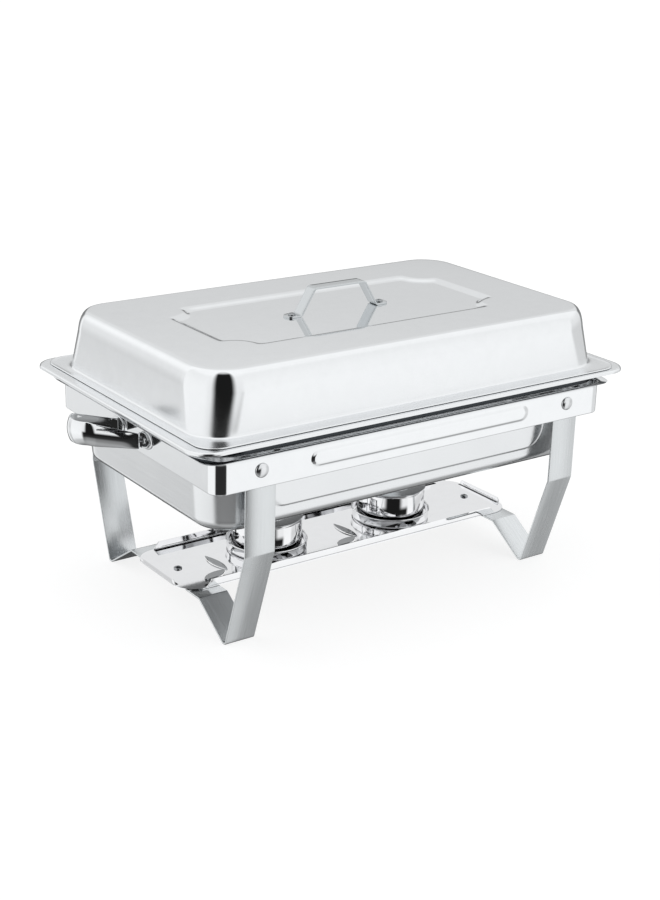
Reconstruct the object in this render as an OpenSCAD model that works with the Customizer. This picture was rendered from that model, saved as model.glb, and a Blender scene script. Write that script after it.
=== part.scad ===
// Full-size chafing dish (buffet food warmer) on a folding stand with a fuel tray.
// +X runs along the dish, -Y is the serving side, +Z is up, z = 0 is the table top.

/* [Water pan] */
// Length of the water pan over its rim
pan_len = 570; // [500:1:640]
// Width of the water pan over its rim
pan_wid = 361; // [320:1:400]
// Height of the rim's top above the table
rim_z = 237; // [200:1:260]
// Height of the pan's flat bottom above the table
pan_floor_z = 131; // [115:1:150]
// Length of the pan body below the step
body_len = 507; // [440:1:520]
// Width of the pan body below the step
body_wid = 303; // [260:1:310]
// Sheet thickness of pans and lid
sheet = 0.7; // [0.5:0.1:1.5]

/* [Food pan] */
// Length of the food pan's flange
food_len = 530; // [500:1:532]
// Width of the food pan's flange
food_wid = 325; // [300:1:328]
// Depth of the food pan
food_depth = 65; // [40:1:70]

/* [Lid] */
// Length of the lid over its flange
lid_len = 548; // [530:1:566]
// Width of the lid over its flange
lid_wid = 351; // [320:1:356]
// Length of the lid's wall at its foot
dome_len = 525; // [500:1:530]
// Width of the lid's wall at its foot
dome_wid = 312; // [290:1:320]
// Height of the lid's top above the table
lid_top_z = 303; // [290:1:320]
// Height of the lid's rounded shoulder
shoulder_h = 29; // [15:1:35]
// How far the lid's shoulder comes in over the top
shoulder_in = 12; // [6:0.5:30]
// How far the lid's walls lean in below the shoulder
wall_lean = 3.4; // [1:0.1:6]
// Length of the recessed panel in the lid
panel_len = 362; // [250:1:420]
// Width of the recessed panel in the lid
panel_wid = 158; // [100:1:200]
// Radius of the panel's scooped corners
scoop_r = 29; // [15:1:40]
// Depth of the recessed panel
panel_drop = 3; // [1:0.5:6]

/* [Lid handle] */
// Width of the handle strip
grip_w = 15.5; // [12:0.5:22]
// Thickness of the handle strip
grip_t = 2; // [1.5:0.1:3]
// Length of the handle's top bar
grip_bar = 64; // [50:1:90]
// Distance between the handle's two feet
grip_span = 102; // [80:1:130]
// Distance between the handle's two screws
grip_screws = 119; // [100:1:150]
// Height of the handle's top above the table
grip_top_z = 331; // [320:1:350]

/* [Stand] */
// Length of the band
band_len = 515; // [480:1:530]
// Width of the band
band_wid = 331; // [310:1:345]
// Lower edge of the band above the table
band_low_z = 184.7; // [170:0.1:195]
// Underside of the band's flange above the table
band_top_z = 219.5; // [205:0.5:222]
// Sheet thickness of the band
band_t = 1.2; // [1:0.1:2]
// Distance from the centre to each leg, along the dish
leg_x = 203.7; // [180:0.1:220]
// Height of the leg pivots above the table
pivot_z = 203; // [195:0.5:208]
// Width of a leg strip
strip_w = 35.5; // [25:0.5:45]
// Thickness of a leg strip
strip_t = 2; // [1.5:0.1:3]
// Radius of a pivot rivet's shank
pivot_r = 4; // [3:0.1:5]
// Radius of a pivot rivet's outer head
head_r = 7.75; // [6:0.25:10]

/* [Side handles] */
// Half the distance between a side handle's ends
bail_half = 30; // [26:1:50]
// Height of a side handle's feet above the table
bail_z = 202.5; // [200:0.5:205]
// How far a side handle's outer end sits above its feet
bail_rise = 14; // [0:0.5:18]
// How far a side handle stands out from the centre
bail_x = 329; // [310:0.5:335]
// Height of a side handle's strip at its middle
bail_h = 25; // [14:1:30]

/* [Fuel tray] */
// Length of the tray
tray_len = 458; // [400:1:470]
// Width of the tray
tray_wid = 118; // [100:1:140]
// Sheet thickness of the tray
tray_t = 1.2; // [1:0.1:2]
// Height of the tray's long edges
tray_edge_h = 9.5; // [5:0.5:15]

/* [Burners] */
// Distance from the centre to each burner, along the dish
burner_x = 88; // [70:1:120]
// Outer radius of the burner's saucer
saucer_r = 46.6; // [40:0.1:52]
// Height of the burner's saucer
saucer_h = 12; // [6:1:20]
// Outer radius of the burner's can
can_r = 40; // [30:0.5:44]
// Height of the burner's can
can_h = 38; // [25:1:42]

/* [Hidden] */
$fn = 64;
gap = 0.3;
fit = 0.05;
strip_in_y = band_wid/2 - band_t - 0.4;
strip_mid_y = strip_in_y - strip_t/2;
bridge_top_z = 33;
tray_z = bridge_top_z + gap;
tray_top_z = tray_z + tray_t;
panel_z = lid_top_z - panel_drop;
ledge_z = band_top_z + band_t + gap;
food_top_z = ledge_z + sheet + gap + sheet;
food_floor_z = food_top_z - food_depth;
lid_foot_z = rim_z + gap;
saucer_z = tray_top_z + gap;
can_z = saucer_z + sheet;
cover_z = can_z + can_h;
snuffer_pin_y = 33;
snuffer_r = 24;
knob_y = -17;
small_r = 2;
notch_r = 4.6;
tab_screw_x = grip_screws/2;
riser_x = 267.5;
riser_y = 165.5;
rim_corner = 26;
food_wall_x = 249;
food_wall_y = 147;
band_corner = 14;
bar_len = 287;
bar_wid = 16.6;
bail_foot = 8.5;
bail_bend = 22;
strip_top_z = 186;

// One ring of points round a rectangle with rounded corners, at height z.
function ring(hx, hy, r, z, n) = [
    for (c = [0:3])
        for (i = [0:n])
            let (a = 90*c + 90*i/n)
            let (sx = (c == 0 || c == 3) ? 1 : -1)
            let (sy = (c < 2) ? 1 : -1)
            [sx*(hx - r) + r*cos(a), sy*(hy - r) + r*sin(a), z]
];

// A closed skin through rows of [half length, half width, corner radius, height].
module skin(rows, n = 6) {
    m = 4*(n + 1);
    last = len(rows) - 1;
    pts = [for (w = rows) each ring(w[0], w[1], w[2], w[3], n)];
    sides = [
        for (k = [0:last - 1])
            for (i = [0:m - 1])
                let (j = (i + 1)%m)
                each [[k*m + i, (k + 1)*m + i, (k + 1)*m + j],
                      [k*m + i, (k + 1)*m + j, k*m + j]]
    ];
    caps = [[for (i = [0:m - 1]) i], [for (i = [m - 1:-1:0]) last*m + i]];
    polyhedron(points = pts, faces = concat(caps, sides), convexity = 6);
}

// Half-size rows of a quarter round from angle a0 to a1, for a pressed edge.
function round_rows(hx, hy, r, z, edge, a0, a1, steps) = [
    for (i = [0:steps])
        let (a = a0 + (a1 - a0)*i/steps)
        [hx + edge*cos(a), hy + edge*cos(a), r + edge*cos(a), z + edge*sin(a)]
];

function unit(v) = v/norm(v);
function left_of(v) = [-v[1], v[0]];

// The points of a line of points moved sideways by d, with mitred corners.
function beside(p, d) = [
    for (i = [0:len(p) - 1])
        let (a = left_of(unit(i == 0 ? p[1] - p[0] : p[i] - p[i - 1])))
        let (b = left_of(unit(i == len(p) - 1 ? p[i] - p[i - 1] : p[i + 1] - p[i])))
        p[i] + d*(a + b)/(1 + a*b)
];

// A flat strip of thickness t bent along a line of points.
module bent(p, t) {
    near = beside(p, -t/2);
    far = beside(p, t/2);
    polygon(concat(near, [for (i = [len(p) - 1:-1:0]) far[i]]));
}

// A rectangle with rounded corners, from plain squares and circles.
module slab(x, y, r) {
    square([x - 2*r, y], center = true);
    square([x, y - 2*r], center = true);
    for (sx = [-1, 1], sy = [-1, 1])
        translate([sx*(x/2 - r), sy*(y/2 - r)]) circle(r);
}

// Turns a shape drawn in X and Z so that it stands up, thickness t centred on y = 0.
module upright(t) {
    rotate([90, 0, 0])
        linear_extrude(t, center = true) children();
}

// ---- pans and lid ----

module water_pan() {
    hx = pan_len/2;
    hy = pan_wid/2;
    bx = body_len/2;
    by = body_wid/2;
    rx = riser_x;
    ry = riser_y;
    foot = 12;
    outer = concat(
        [[bx - 30, by - 30, 20, pan_floor_z]],
        round_rows(bx - 7 - foot, by - 6 - foot, 28, pan_floor_z + foot, foot, -80, 0, 5),
        [[bx, by, 42, ledge_z], [rx, ry, 46, ledge_z], [rx, ry, 46, rim_z - sheet],
         [hx - sheet, hy - sheet, rim_corner - sheet, rim_z - sheet],
         [hx - sheet, hy - sheet, rim_corner - sheet, rim_z - 4]]);
    inner = concat(
        [[hx, hy, rim_corner, rim_z - 4], [hx, hy, rim_corner, rim_z - 0.8],
         [hx - 0.8, hy - 0.8, rim_corner - 0.8, rim_z],
         [rx - sheet, ry - sheet, 45, rim_z], [rx - sheet, ry - sheet, 45, ledge_z + sheet],
         [bx - sheet, by - sheet, 41, ledge_z + sheet]],
        [for (w = [[0, 0], [-20, 20], [-45, 45], [-75, 75]])
            let (c = foot - sheet)
            [bx - 7 - foot + c*cos(w[1]), by - 6 - foot + c*cos(w[1]), 28 + c*cos(w[1]),
             pan_floor_z + foot - c*sin(w[1])]],
        [[bx - 30, by - 30, 20, pan_floor_z + sheet]]);
    color([0.83, 0.84, 0.85]) {
        skin(concat(outer, inner));
        for (s = [-1, 1]) side_panel(s);
    }
}

// The raised panel pressed out of the water pan's front or back wall.
module side_panel(s) {
    lean = atan(6/(ledge_z - pan_floor_z - 12));
    translate([0, s*(body_wid/2 - 0.6), ledge_z - 7.5])
        rotate([s*-lean, 0, 0])
        translate([0, s*0.4, -31])
        upright(1.6)
        slab(372, 62, 25);
}

module food_pan() {
    fx = food_len/2;
    fy = food_wid/2;
    wx = food_wall_x;
    wy = food_wall_y;
    foot = 10;
    outer = concat(
        [[wx - 26, wy - 26, 20, food_floor_z]],
        round_rows(wx - 5 - foot, wy - 5 - foot, 34, food_floor_z + foot, foot, -80, 0, 4),
        [[wx, wy, 44, food_top_z - sheet], [fx, fy, 44, food_top_z - sheet]]);
    inner = concat(
        [[fx, fy, 44, food_top_z], [wx - sheet, wy - sheet, 43, food_top_z]],
        [for (a = [0, 20, 45, 75])
            let (c = foot - sheet)
            [wx - 5 - foot + c*cos(a), wy - 5 - foot + c*cos(a), 34 + c*cos(a),
             food_floor_z + foot - c*sin(a)]],
        [[wx - 26, wy - 26, 20, food_floor_z + sheet]]);
    color([0.76, 0.77, 0.78]) skin(concat(outer, inner));
}

// The scooped-corner outline of the lid's recessed panel, drawn in by e.
module ticket(e) {
    difference() {
        square([panel_len - 2*e, panel_wid - 2*e], center = true);
        for (sx = [-1, 1], sy = [-1, 1])
            translate([sx*panel_len/2, sy*panel_wid/2]) circle(scoop_r + e);
    }
}

// Rows of the lid's shoulder, t inside its outer face, from angle a0 to a1.
function shoulder_rows(t, a0, a1, steps) = [
    for (i = [0:steps])
        let (a = a0 + (a1 - a0)*i/steps)
        let (out = (shoulder_in - t)*cos(a) - shoulder_in - wall_lean)
        [dome_len/2 + out, dome_wid/2 + out, 34 - t + 12*cos(a),
         lid_top_z - shoulder_h + (shoulder_h - t)*sin(a)]
];

module lid_shell() {
    fx = lid_len/2;
    fy = lid_wid/2;
    dx = dome_len/2;
    dy = dome_wid/2;
    flat = shoulder_in + wall_lean + 12;
    inside = concat(
        [[dx - flat, dy - flat, 22, lid_top_z - sheet]],
        shoulder_rows(sheet, 88, 16, 7),
        [[dx - sheet, dy - sheet, 37.3, lid_foot_z]]);
    outside = concat(
        [[fx, fy, 24, lid_foot_z], [fx, fy, 24, lid_foot_z + sheet],
         [dx + 3, dy + 3, 41, lid_foot_z + 1.4], [dx, dy, 38, lid_foot_z + 3.5]],
        shoulder_rows(0, 16, 88, 8),
        [[dx - flat, dy - flat, 22, lid_top_z]]);
    color([0.86, 0.87, 0.88]) difference() {
        union() {
            difference() {
                skin(concat(inside, outside));
                translate([0, 0, lid_top_z - 5]) linear_extrude(10) ticket(0);
            }
            translate([0, 0, panel_z - sheet]) linear_extrude(sheet) ticket(0);
            translate([0, 0, panel_z - sheet])
                linear_extrude(panel_drop + sheet) difference() {
                    ticket(-0.3);
                    ticket(sheet);
                }
        }
        for (s = [-1, 1])
            translate([s*tab_screw_x, 0, panel_z - 5]) cylinder(r = 2.1, h = 10);
    }
}

// ---- lid handle ----

module lid_handle() {
    z0 = panel_z + grip_t/2;
    z1 = grip_top_z - grip_t/2;
    hb = grip_bar/2;
    hs = grip_span/2;
    p = [[-hs - 17.5, z0], [-hs, z0], [-hb - 2, z1 - 3.5], [-hb + 2, z1],
         [hb - 2, z1], [hb + 2, z1 - 3.5], [hs, z0], [hs + 17.5, z0]];
    color([0.7, 0.71, 0.72]) difference() {
        upright(grip_w) bent(p, grip_t);
        for (s = [-1, 1])
            translate([s*tab_screw_x, 0, panel_z - 1]) cylinder(r = 2.1, h = 5);
    }
}

// A pan-head screw with a cross slot, its head sitting at z = 0 and its shank going down.
module cross_screw(head, high, shank, deep) {
    difference() {
        union() {
            cylinder(r = head, h = high*0.55);
            translate([0, 0, high*0.55])
                cylinder(r1 = head, r2 = head*0.6, h = high*0.45);
            translate([0, 0, -deep]) cylinder(r = shank, h = deep + 0.1);
        }
        for (a = [0, 90])
            rotate([0, 0, a])
                translate([-head*0.55, -0.45, high*0.35])
                cube([head*1.1, 0.9, high]);
    }
}

module lid_handle_screws() {
    color([0.6, 0.61, 0.62])
        for (s = [-1, 1])
            translate([s*tab_screw_x, 0, panel_z + grip_t]) cross_screw(4.2, 2.8, 2, 8.5);
}

module lid_handle_nuts() {
    color([0.55, 0.56, 0.57])
        for (s = [-1, 1])
            translate([s*tab_screw_x, 0, panel_z - sheet - 3.2]) difference() {
                cylinder(r = 4, h = 3.2, $fn = 6);
                translate([0, 0, -1]) cylinder(r = small_r + fit, h = 6, $fn = 32);
            }
}

// ---- stand ----

// The band is one ring with an outward flange and a long bar pressed out front and back.
module frame_band() {
    high = band_top_z - band_low_z;
    color([0.85, 0.86, 0.87]) difference() {
        union() {
            for (s = [-1, 1])
                translate([0, s*(band_wid/2 + 0.4), pivot_z])
                    upright(1.4) slab(bar_len, bar_wid, bar_wid/2 - 0.05);
            translate([0, 0, band_low_z]) linear_extrude(high + band_t)
                slab(band_len, band_wid, band_corner);
            translate([0, 0, band_top_z]) linear_extrude(band_t)
                slab(band_len + 23, band_wid + 12, band_corner + 3);
        }
        translate([0, 0, band_low_z - 1]) linear_extrude(high + 10)
            slab(band_len - 2*band_t, band_wid - 2*band_t, band_corner - band_t);
        for (sx = [-1, 1])
            translate([sx*leg_x, 0, pivot_z]) rotate([90, 0, 0])
                cylinder(r = pivot_r + fit, h = band_wid + 20, center = true);
        for (sx = [-1, 1], sy = [-1, 1])
            translate([sx*band_len/2, sy*bail_half, bail_z]) rotate([0, 90, 0])
                cylinder(r = small_r + fit, h = 12, center = true, $fn = 32);
    }
}

// The oval plates under the ends of one side handle.
module handle_plates(s) {
    color([0.8, 0.81, 0.82])
        for (sy = [-1, 1])
            translate([s*(band_len/2 + 0.6), sy*bail_half, bail_z]) difference() {
                rotate([90, 0, 90]) linear_extrude(1.1, center = true) slab(26, 19, 9);
                rotate([0, 90, 0]) cylinder(r = small_r + fit, h = 5, center = true, $fn = 32);
            }
}

// One side handle: a strip bent to a wide C, with its two ends turned flat on the plates.
module side_handle(s) {
    x0 = band_len/2 + 2;
    y0 = bail_half;
    xc = bail_x - 0.8 - bail_bend;
    arc = [for (a = [10:10:90]) [xc + bail_bend*sin(a), 1 + bail_bend*cos(a)]];
    half = concat([[x0, y0 + 9], [x0, y0 - 6], [x0 + 7, y0 - 1]], arc);
    back = [for (i = [len(half) - 1:-1:0]) [half[i][0], -half[i][1]]];
    low = bail_rise - bail_h/2;
    high = bail_rise + bail_h/2;
    side = [[x0 - 9, -bail_foot], [x0 + 6, -bail_foot], [bail_x - 10, low], [bail_x + 5, low],
            [bail_x + 5, high], [bail_x - 10, high], [x0 + 6, bail_foot], [x0 - 9, bail_foot]];
    color([0.75, 0.76, 0.78]) translate([0, 0, bail_z]) mirror([s < 0 ? 1 : 0, 0, 0])
        difference() {
            intersection() {
                linear_extrude(bail_h + 2*bail_rise + 2, center = true)
                    bent(concat(half, back), 1.6);
                upright(200) polygon(side);
            }
            for (sy = [-1, 1])
                translate([x0, sy*y0, 0]) rotate([0, 90, 0])
                    cylinder(r = small_r + fit, h = 6, center = true, $fn = 32);
        }
}

// The small rivets through the band, the plates and the ends of one side handle.
module handle_rivets(s) {
    x0 = band_len/2 + 2.85;
    color([0.6, 0.61, 0.62])
        for (sy = [-1, 1])
            translate([s*x0, sy*bail_half, bail_z]) rotate([0, s*90, 0]) {
                cylinder(r = 3.4, h = 1.4, $fn = 32);
                translate([0, 0, -5.4]) cylinder(r = small_r, h = 5.5, $fn = 32);
                translate([0, 0, -5.6]) cylinder(r = 3, h = 1.4, $fn = 32);
            }
}

// One pivot rivet: domed head outside the band, shank through band, leg and washer.
module pivot_rivet() {
    dome = 13.1;
    rotate([90, 0, 0]) {
        intersection() {
            translate([0, 0, 2.5 - dome]) sphere(dome, $fn = 96);
            cylinder(r = head_r, h = 4);
        }
        translate([0, 0, -5.2]) cylinder(r = pivot_r, h = 5.6);
        translate([0, 0, -6.6]) cylinder(r = 6, h = 1.6);
    }
}

module leg_pivot_rivets(s) {
    color([0.8, 0.81, 0.82]) {
        translate([s*leg_x, -band_wid/2 - 0.1, pivot_z]) pivot_rivet();
        translate([s*leg_x, band_wid/2 + 0.1, pivot_z]) rotate([0, 0, 180]) pivot_rivet();
    }
}

// The washers between the leg strip and the rivet's peened end.
module leg_washers(s) {
    color([0.7, 0.71, 0.72])
        for (sy = [-1, 1])
            translate([s*leg_x, sy*(strip_in_y - strip_t - 0.2 - 0.5), pivot_z])
                rotate([90, 0, 0]) difference() {
                    cylinder(r = 8, h = 1, center = true);
                    cylinder(r = pivot_r + fit, h = 4, center = true);
                }
}

// One end frame: a single strip bent from pivot to pivot, with feet and a tray bridge.
module leg_strip(s) {
    y = strip_mid_y;
    half = [[y, strip_top_z], [y, 112], [126.6, 1], [121.6, 1], [74, 32], [0, 32]];
    path = concat(half, [for (i = [len(half) - 2:-1:0]) [-half[i][0], half[i][1]]]);
    color([0.72, 0.73, 0.74]) translate([s*leg_x, 0, 0]) difference() {
        union() {
            rotate([90, 0, 90]) linear_extrude(strip_w, center = true) bent(path, strip_t);
            for (sy = [-1, 1])
                translate([0, sy*y, 0]) upright(strip_t) {
                    translate([0, pivot_z]) circle(12.4);
                    polygon([[-strip_w/2, strip_top_z], [strip_w/2, strip_top_z],
                             [11, pivot_z + 5], [-11, pivot_z + 5]]);
                }
        }
        translate([0, 0, pivot_z]) rotate([90, 0, 0])
            cylinder(r = pivot_r + fit, h = 400, center = true);
        translate([0, 0, 20]) cylinder(r = notch_r, h = 30);
        translate([s*strip_w/2, 0, 32]) cube([strip_w, 2*notch_r, 10], center = true);
    }
}

// ---- fuel tray ----

// A pointed petal of length a and width b, drawn along Y.
module petal(a, b) {
    r = (a*a + b*b)/(4*b);
    intersection() {
        translate([r - b/2, 0]) circle(r, $fn = 120);
        translate([b/2 - r, 0]) circle(r, $fn = 120);
    }
}

module fuel_tray() {
    run = tray_len - 66;
    color([0.9, 0.9, 0.91]) difference() {
        union() {
            translate([0, 0, tray_z]) linear_extrude(tray_t) slab(tray_len, tray_wid, 25);
            for (s = [-1, 1]) {
                translate([0, s*(tray_wid/2 - tray_t/2), 0]) upright(tray_t)
                    polygon([[-run/2 - 6, tray_z], [run/2 + 6, tray_z],
                             [run/2 - 1, tray_z + tray_edge_h],
                             [-run/2 + 1, tray_z + tray_edge_h]]);
                translate([s*(tray_len/2 - tray_t/2), 0, tray_z + 3.2]) rotate([90, 0, 90])
                    linear_extrude(tray_t, center = true) slab(74, 6.4, 3);
            }
        }
        for (s = [-1, 1]) {
            translate([s*leg_x, 0, tray_z - 1]) cylinder(r = small_r + fit, h = 4, $fn = 32);
            translate([s*burner_x - 73, -10, tray_z - 1]) rotate([0, 0, 4])
                linear_extrude(4) petal(44, 12);
            translate([s*burner_x - 91, -37, tray_z - 1]) rotate([0, 0, 110])
                linear_extrude(4) petal(34, 16);
        }
    }
}

module tray_screws() {
    color([0.5, 0.51, 0.52])
        for (s = [-1, 1])
            translate([s*leg_x, 0, tray_top_z]) cross_screw(4.6, 2.8, 2, 4.6);
}

module tray_screw_nuts() {
    color([0.5, 0.51, 0.52])
        for (s = [-1, 1])
            translate([s*leg_x, 0, tray_z - 3.2]) difference() {
                cylinder(r = 4, h = 3.2, $fn = 6);
                translate([0, 0, -1]) cylinder(r = small_r + fit, h = 6, $fn = 32);
            }
}

// ---- burners ----

module burner_saucer(s) {
    r = saucer_r;
    h = saucer_h;
    color([0.88, 0.88, 0.89]) translate([s*burner_x, 0, saucer_z])
        rotate_extrude($fn = 96)
        polygon([[0, 0], [r - 3, 0], [r - 0.8, 1.2], [r - 0.8, h - 1.6], [r, h - 1.2],
                 [r, h], [r - 1.6, h], [r - 1.6, 1.8], [r - 3.4, sheet], [0, sheet]]);
}

module burner_can(s) {
    r = can_r;
    h = can_h;
    color([0.86, 0.86, 0.87]) translate([s*burner_x, 0, can_z + 0.02])
        rotate_extrude($fn = 96)
        polygon([[0, 0], [r - 2, 0], [r, 1.6], [r, h], [r - 0.8, h], [r - 0.8, 2],
                 [r - 2.4, 0.8], [0, 0.8]]);
}

module burner_top_plate(s) {
    r = can_r;
    color([0.8, 0.8, 0.81]) translate([s*burner_x, 0, cover_z + 0.1]) difference() {
        union() {
            rotate_extrude($fn = 96)
                polygon([[18, 0], [r + 0.9, 0], [r + 0.9, 1], [18, 1]]);
            rotate_extrude($fn = 96)
                polygon([[r - 3, -5], [r - 1.1, -5], [r - 1.1, 0.5], [r - 3, 0.5]]);
        }
        translate([0, snuffer_pin_y, -6]) cylinder(r = small_r + fit, h = 12, $fn = 32);
    }
}

module snuffer_pin(s) {
    color([0.55, 0.56, 0.57])
        translate([s*burner_x, snuffer_pin_y, cover_z - 0.9]) {
            cylinder(r = small_r, h = 3.4, $fn = 32);
            translate([0, 0, -1]) cylinder(r = 3, h = 1.7, $fn = 32);
            translate([0, 0, 3]) cylinder(r = 3.4, h = 1, $fn = 32);
        }
}

module snuffer_cover(s) {
    color([0.82, 0.82, 0.83])
        translate([s*burner_x, 0, cover_z + 1.2]) difference() {
            linear_extrude(0.8) {
                circle(snuffer_r, $fn = 96);
                translate([0, snuffer_pin_y/2 + 2]) square([10, snuffer_pin_y - 6], center = true);
                translate([0, snuffer_pin_y]) circle(5, $fn = 32);
            }
            translate([0, snuffer_pin_y, -1]) cylinder(r = small_r + fit, h = 4, $fn = 32);
            translate([0, knob_y, -1]) cylinder(r = 1.5 + fit, h = 4, $fn = 32);
        }
}

module snuffer_knob(s) {
    color([0.35, 0.36, 0.37])
        translate([s*burner_x, knob_y, cover_z + 2.05]) {
            cylinder(r = 4, h = 2.4, $fn = 32);
            translate([0, 0, -0.8]) cylinder(r = 1.5, h = 1, $fn = 32);
        }
}

frame_band();
side_handle(-1);  // side_handle_left
side_handle(1);  // side_handle_right
handle_plates(-1);  // handle_plates_left
handle_plates(1);  // handle_plates_right
handle_rivets(-1);  // handle_rivets_left
handle_rivets(1);  // handle_rivets_right
leg_pivot_rivets(-1);  // leg_pivot_rivets_left
leg_pivot_rivets(1);  // leg_pivot_rivets_right
leg_strip(-1);  // leg_strip_left
leg_strip(1);  // leg_strip_right
leg_washers(-1);  // leg_washers_left
leg_washers(1);  // leg_washers_right
fuel_tray();
tray_screws();
tray_screw_nuts();
burner_saucer(-1);  // burner_saucer_left
burner_can(-1);  // burner_can_left
burner_top_plate(-1);  // burner_top_plate_left
snuffer_pin(-1);  // snuffer_pin_left
snuffer_cover(-1);  // snuffer_cover_left
snuffer_knob(-1);  // snuffer_knob_left
burner_saucer(1);  // burner_saucer_right
burner_can(1);  // burner_can_right
burner_top_plate(1);  // burner_top_plate_right
snuffer_pin(1);  // snuffer_pin_right
snuffer_cover(1);  // snuffer_cover_right
snuffer_knob(1);  // snuffer_knob_right
water_pan();
food_pan();
lid_shell();
lid_handle();
lid_handle_screws();
lid_handle_nuts();
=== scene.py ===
import bpy
import bmesh
import math
from mathutils import Matrix, Vector


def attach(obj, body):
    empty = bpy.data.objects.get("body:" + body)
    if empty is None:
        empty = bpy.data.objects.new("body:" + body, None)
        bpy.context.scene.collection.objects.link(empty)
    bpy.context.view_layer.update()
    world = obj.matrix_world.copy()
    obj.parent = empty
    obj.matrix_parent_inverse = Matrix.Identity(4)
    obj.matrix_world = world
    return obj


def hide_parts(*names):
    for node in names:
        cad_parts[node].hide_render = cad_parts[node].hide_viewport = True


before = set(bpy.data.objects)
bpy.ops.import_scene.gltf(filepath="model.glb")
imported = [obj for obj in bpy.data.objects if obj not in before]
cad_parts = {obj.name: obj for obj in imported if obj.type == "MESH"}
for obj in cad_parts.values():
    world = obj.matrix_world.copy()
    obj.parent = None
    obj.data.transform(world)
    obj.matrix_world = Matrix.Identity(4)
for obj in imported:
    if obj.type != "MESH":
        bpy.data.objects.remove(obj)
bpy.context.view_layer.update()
MM = 0.001

# ---------------------------------------------------------------- sizes, in mm, as in part.scad
# HX and HY are half sizes, Z is a height over the floor, R a radius and T a thickness
SHEET = 0.7
PAN_HX, PAN_HY, RIM_Z, PAN_FLOOR = 285.0, 180.5, 237.0, 131.0
BODY_HX, BODY_HY, RISER_HX, RISER_HY = 253.5, 151.5, 267.5, 165.5
BODY_LEAN_X, BODY_LEAN_Y, PAN_FOOT_R, LEDGE_Z = 7, 6, 12.0, 221.0
RAISED_HX, RAISED_HZ, RAISED_R, RAISED_Z, RAISED_OUT = 186.0, 36.5, 25.0, 186.5, 1.4
RAISED_LOW_Z, RAISED_END_Z = 150.3, 219.0
FOOD_HX, FOOD_HY, FOOD_TOP, FOOD_DEPTH = 265.0, 162.5, 222.7, 65.0
FOOD_WALL_X, FOOD_WALL_Y, FOOD_FOOT_R = 249.0, 147.0, 10.0
LID_HX, LID_HY, DOME_HX, DOME_HY = 274.0, 175.5, 262.5, 156.0
LID_FOOT, LID_TOP, SHOULDER_H, SHOULDER_IN, WALL_LEAN = 237.3, 303.0, 29.0, 12.0, 3.4
SHOULDER_LOW, SHOULDER_HIGH = 15, 88                    # degrees of the shoulder's curve
PANEL_A, PANEL_B, SCOOP_R, PANEL_DROP = 181.0, 79.0, 29.0, 3.0
GRIP_END_X, GRIP_BEND_X, GRIP_TOP_X, GRIP_TOP_Z = 68.5, 51, 33.5, 329.6
GRIP_T, GRIP_ROUND_X, GRIP_R, GRIP_SCREW_X = 2.0, 61.0, 7.75, 59.5
BAND_HX, BAND_HY, BAND_LOW, BAND_TOP, BAND_T = 257.5, 165.5, 184.7, 219.5, 1.2
FLANGE_X, FLANGE_Y = 11.5, 6
BAR_HX, BAR_HZ, BAR_R, BAR_Z, BAR_OUT = 143.5, 8.3, 8.29, 203.0, 1.05
LEG_X, PIVOT_Z, STRIP_W, STRIP_T, STRIP_Y = 203.7, 203.0, 35.5, 2.0, 162.9
# half of the leg strip's middle line as (y, z), and the radius of each bend of the whole line
LEG_LINE = [(STRIP_Y, 215.3), (STRIP_Y, 112), (126.6, 1), (121.6, 1), (74, 32), (0, 32)]
LEG_BENDS = [5, 1.9, 1.9, 5, 5, 1.9, 1.9, 5, 5]
TAPER_Z, TAPER_H, NECK_HALF, EYE_R, NOTCH_R = 186, 20.0, 11, 12.4, 4.6
RIVET_Y = 165.6
BAIL_X, BAIL_Y, BAIL_Z, BAIL_RISE = 329.0, 30.0, 202.5, 14.0
BAIL_X0, BAIL_BEND, BAIL_MID_Y, BAIL_T = 259.5, 22.0, 1.0, 1.5
BAIL_FOOT_H, BAIL_SWELL, BAIL_CROWN, BAIL_CROWN_H = 8.5, 3.9, 2.8, 12.5
TRAY_Z, TRAY_T, TRAY_HX, TRAY_HY, TRAY_CORNER = 33.3, 1.2, 229.0, 59.0, 25.0
TRAY_SIDE_HX, TRAY_SIDE_H, TRAY_LIP_HY, TRAY_LIP_H = 202, 9.5, 37.0, 6.3
TRAY_HOLE_R = 2.05
BURNER_X, SAUCER_Z, SAUCER_R, SAUCER_H = 88.0, 34.8, 46.6, 12.0
CAN_Z, CAN_R, CAN_H, CAN_PLATE_Z = 35.52, 40.0, 38.0, 73.6
SNUFFER_R, SNUFFER_LOW, SNUFFER_TOP, PIN_Y, LUG_R, KNOB_Y = 24, 74.7, 75.5, 33, 5, -17


# ---------------------------------------------------------------- materials
NOISE_LO, NOISE_HI = 0.3, 0.7          # the middle part of a noise, which the ramps spread out


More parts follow.
